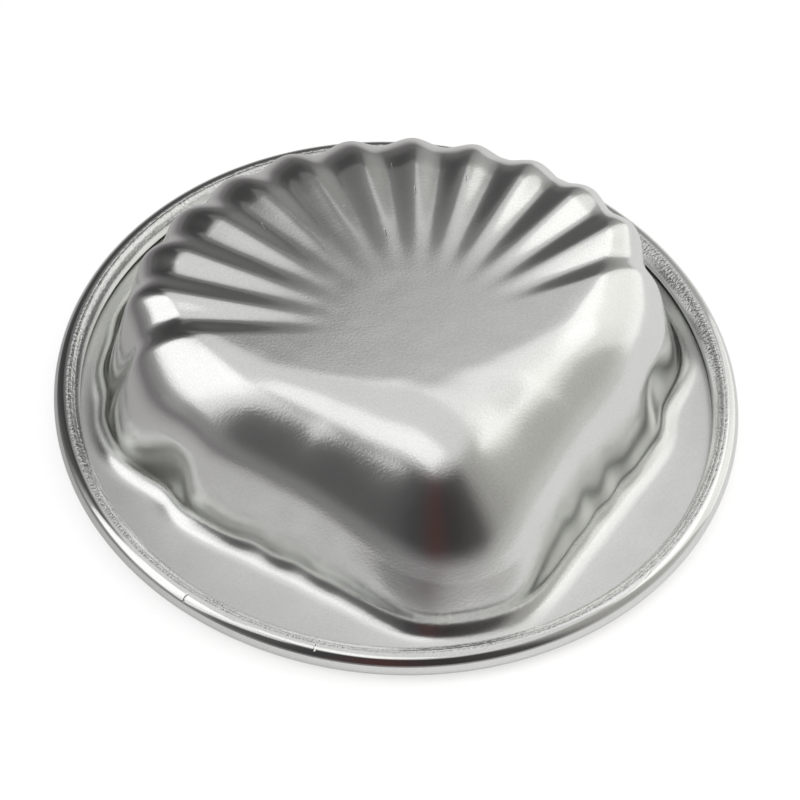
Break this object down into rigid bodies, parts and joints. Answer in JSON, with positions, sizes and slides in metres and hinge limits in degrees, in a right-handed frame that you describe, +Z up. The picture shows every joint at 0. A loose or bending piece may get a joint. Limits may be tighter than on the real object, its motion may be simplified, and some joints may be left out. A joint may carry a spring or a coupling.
{
  "type": "madeleine pan",
  "caption": "Single scallop-shell madeleine mould, pressed in aluminium sheet, with a fluted fan, a flat flange and a rim curled over a steel wire.",
  "frame": {"origin": "centre of the round rim, on the plane it rests on", "axes": "+Z up out of the domed side, +Y towards the middle of the fan of flutes, -Y towards the nose of the shell"},
  "size_m": [0.08, 0.08, 0.0175],
  "materials": {
    "sheet": "satin mill finish, lightly scuffed",
    "wire": "drawn, bright"
  },
  "bodies": {
    "root": {"pressed_shell": "sheet", "rim_wire": "wire"}
  },
  "joints": []
}
